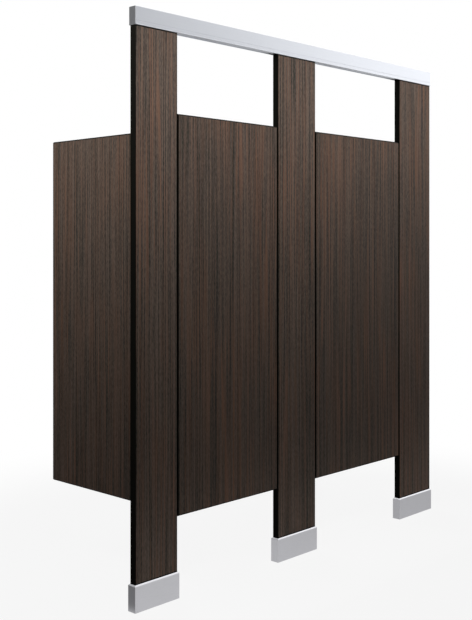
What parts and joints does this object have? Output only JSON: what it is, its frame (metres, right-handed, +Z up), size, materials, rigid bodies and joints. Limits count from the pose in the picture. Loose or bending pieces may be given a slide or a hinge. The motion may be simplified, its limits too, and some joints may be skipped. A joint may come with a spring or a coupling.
{
  "type": "bathroom stall partition",
  "caption": "Floor-standing washroom cubicle front with inward doors, end and dividing panels, a headrail and sheet-metal shoes, fixed to the floor and the back wall.",
  "frame": {"origin": "centre of the middle pilaster's floor anchor pattern, on the floor", "axes": "+X along the front from left to right seen from outside, +Y into the stalls, +Z up"},
  "size_m": [1.9, 0.676, 2.135],
  "materials": {
    "board_core": "black core with a satin eased edge",
    "laminate": "dark ebony laminate with a fine straight vertical grain, satin",
    "headrail_aluminium": "clear satin anodised",
    "shoe_steel": "fine satin",
    "plate_steel": "mill finish",
    "zinc_steel": "zinc plated",
    "bracket_aluminium": "satin anodised",
    "screw_steel": "satin",
    "hinge_aluminium": "satin anodised",
    "pin_steel": "ground",
    "nylon": "natural",
    "bolt_steel": "brushed lengthways",
    "latch_aluminium": "satin cast",
    "rubber": "matt black"
  },
  "bodies": {
    "frame": {"pilaster_left": "board_core", "pilaster_middle": "board_core", "pilaster_right": "board_core", "pilaster_left_faces": "laminate", "pilaster_middle_faces": "laminate", "pilaster_right_faces": "laminate", "panel_left": "board_core", "panel_middle": "board_core", "panel_right": "board_core", "panel_left_faces": "laminate", "panel_middle_faces": "laminate", "panel_right_faces": "laminate", "headrail": "headrail_aluminium", "headrail_end_caps": "headrail_aluminium", "headrail_infills": "headrail_aluminium", "shoe_left": "shoe_steel", "shoe_middle": "shoe_steel", "shoe_right": "shoe_steel", "foot_plate_left": "plate_steel", "foot_plate_middle": "plate_steel", "foot_plate_right": "plate_steel", "levelling_studs": "zinc_steel", "levelling_nuts": "zinc_steel", "levelling_washers": "zinc_steel", "pilaster_brackets": "bracket_aluminium", "wall_brackets": "bracket_aluminium", "panel_screws": "screw_steel", "frame_screws": "screw_steel", "hinge_leaves_fixed_left": "hinge_aluminium", "hinge_leaves_fixed_right": "hinge_aluminium", "hinge_pins_left": "pin_steel", "hinge_pins_right": "pin_steel", "hinge_bushes_left": "nylon", "hinge_bushes_right": "nylon", "latch_keeper_left": "latch_aluminium", "latch_keeper_right": "latch_aluminium"},
    "door_left": {"door_left": "board_core", "door_left_faces": "laminate", "hinge_leaves_door_left": "hinge_aluminium", "hinge_springs_left": "pin_steel", "latch_case_left": "latch_aluminium", "door_stop_left": "latch_aluminium", "rubber_buffers_left": "rubber", "coat_hook_left": "latch_aluminium", "door_left_screws": "screw_steel"},
    "door_right": {"door_right": "board_core", "door_right_faces": "laminate", "hinge_leaves_door_right": "hinge_aluminium", "hinge_springs_right": "pin_steel", "latch_case_right": "latch_aluminium", "door_stop_right": "latch_aluminium", "rubber_buffers_right": "rubber", "coat_hook_right": "latch_aluminium", "door_right_screws": "screw_steel"},
    "latch_left": {"latch_bolt_left": "bolt_steel", "latch_knob_left": "latch_aluminium"},
    "latch_right": {"latch_bolt_right": "bolt_steel", "latch_knob_right": "latch_aluminium"}
  },
  "joints": [
    {"name": "door_left_hinge", "type": "hinge", "parent": "frame", "child": "door_left", "pos_m": [-0.6775, 0.0223, 1.036], "axis": [0, 0, 1], "range_deg": [0, 90], "stiffness_Nm_per_rad": 2.5, "springref_deg": -34.38},
    {"name": "door_right_hinge", "type": "hinge", "parent": "frame", "child": "door_right", "pos_m": [0.1225, 0.0223, 1.036], "axis": [0, 0, 1], "range_deg": [0, 90], "stiffness_Nm_per_rad": 2.5, "springref_deg": -34.38},
    {"name": "latch_left_slide", "type": "slide", "parent": "door_left", "child": "latch_left", "axis": [1, 0, 0], "range_m": [0, 0.02]},
    {"name": "latch_right_slide", "type": "slide", "parent": "door_right", "child": "latch_right", "axis": [1, 0, 0], "range_m": [0, 0.02]}
  ]
}
